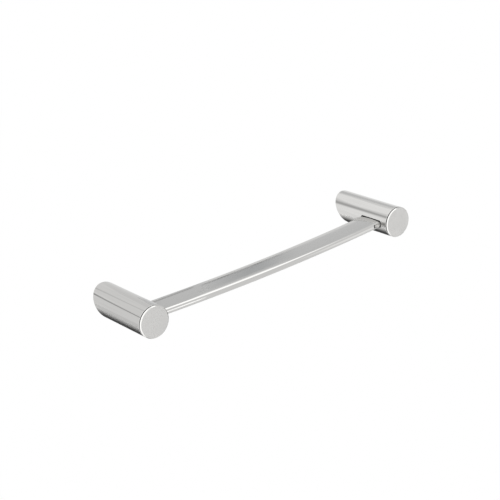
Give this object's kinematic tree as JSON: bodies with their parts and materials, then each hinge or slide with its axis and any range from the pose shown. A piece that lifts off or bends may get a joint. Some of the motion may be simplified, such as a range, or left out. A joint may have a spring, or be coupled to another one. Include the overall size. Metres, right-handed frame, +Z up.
{
  "type": "grab rail",
  "caption": "Polished chrome grab rail: a bowed flat bar clamped between round posts with pull-off end caps and slanted feet tapped for mounting bolts.",
  "frame": {"origin": "on the mounting plane, midway between the centres of the feet's bolt holes", "axes": "+X along the bar to the right, +Y back along the posts towards the panel, +Z up with the posts level"},
  "size_m": [0.342, 0.0852, 0.032],
  "materials": {
    "chrome": "polished chrome plate with faint lengthwise polishing lines; satin on the cap faces",
    "brass": "machined, unplated",
    "stainless": "turned stainless steel",
    "rubber": "matt black seal rubber"
  },
  "bodies": {
    "rail": {"bar": "chrome", "left_post": "chrome", "right_post": "chrome", "left_clamp_block": "brass", "right_clamp_block": "brass", "left_clamp_screw": "stainless", "right_clamp_screw": "stainless", "left_pressure_pad": "brass", "right_pressure_pad": "brass", "left_bar_seal": "rubber", "right_bar_seal": "rubber", "left_foot_plug": "brass", "right_foot_plug": "brass", "left_foot_seal": "rubber", "right_foot_seal": "rubber", "left_lock_screw": "stainless", "right_lock_screw": "stainless"},
    "left_cap": {"left_end_cap": "chrome", "left_cap_o_ring": "rubber", "left_seam_ring": "rubber"},
    "right_cap": {"right_end_cap": "chrome", "right_cap_o_ring": "rubber", "right_seam_ring": "rubber"}
  },
  "joints": [
    {"name": "left_cap_pull", "type": "slide", "parent": "rail", "child": "left_cap", "axis": [0, -1, 0], "range_m": [0, 0.008]},
    {"name": "right_cap_pull", "type": "slide", "parent": "rail", "child": "right_cap", "axis": [0, -1, 0], "range_m": [0, 0.008]}
  ]
}
